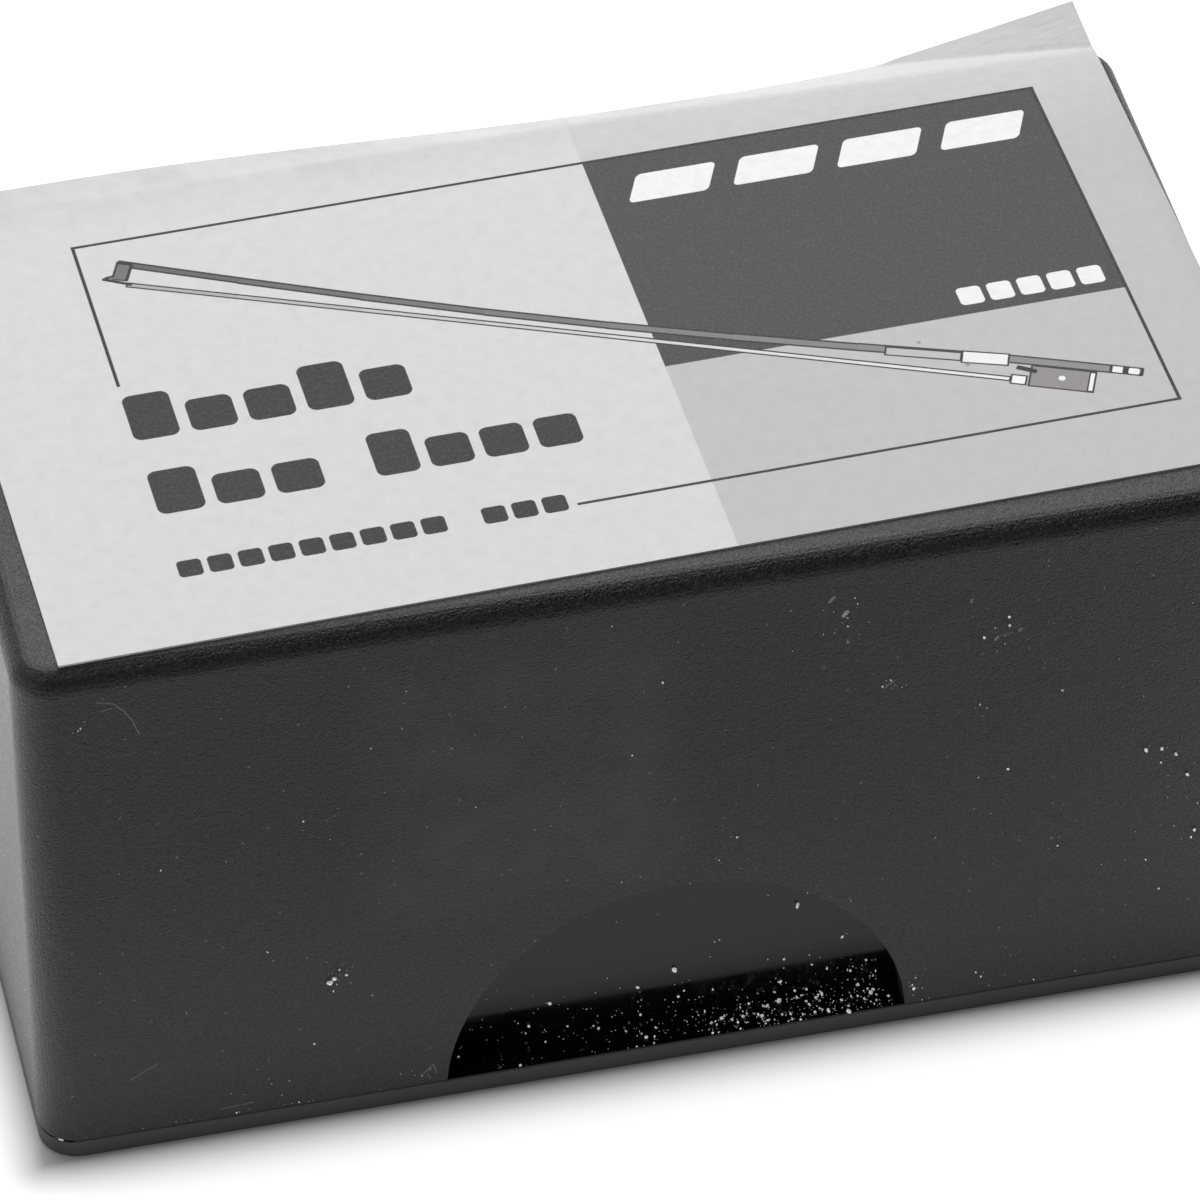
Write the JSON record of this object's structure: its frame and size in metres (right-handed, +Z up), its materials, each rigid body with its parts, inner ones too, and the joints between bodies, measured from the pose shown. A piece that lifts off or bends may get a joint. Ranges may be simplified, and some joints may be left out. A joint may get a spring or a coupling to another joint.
{
  "type": "boxed rosin cake",
  "caption": "Rectangular block of bow rosin in a cloth liner, held in a flanged plastic tray under a lift-off lid with thumb notches and a paper label on its roof.",
  "frame": {"origin": "centre of the tray's flat underside, on the surface that the case stands on", "axes": "+X along the length to the right, +Y to the rear, +Z up through the lid; the front is -Y"},
  "size_m": [0.0643, 0.0383, 0.0331],
  "materials": {
    "tray_plastic": "polished moulding, clean and smooth",
    "lid_plastic": "fine spark-eroded grain, satin",
    "liner_cloth": "short cotton velvet",
    "rosin": "cast amber resin, glossy, powdery on top",
    "label_paper": "uncoated printed sheet"
  },
  "bodies": {
    "base": {"base_tray": "tray_plastic", "cloth_liner": "liner_cloth", "rosin_cake": "rosin"},
    "cover": {"lid": "lid_plastic", "label": "label_paper"}
  },
  "joints": [
    {"name": "lid_lift", "type": "slide", "parent": "base", "child": "cover", "axis": [0, 0, 1], "range_m": [0, 0.04]}
  ]
}
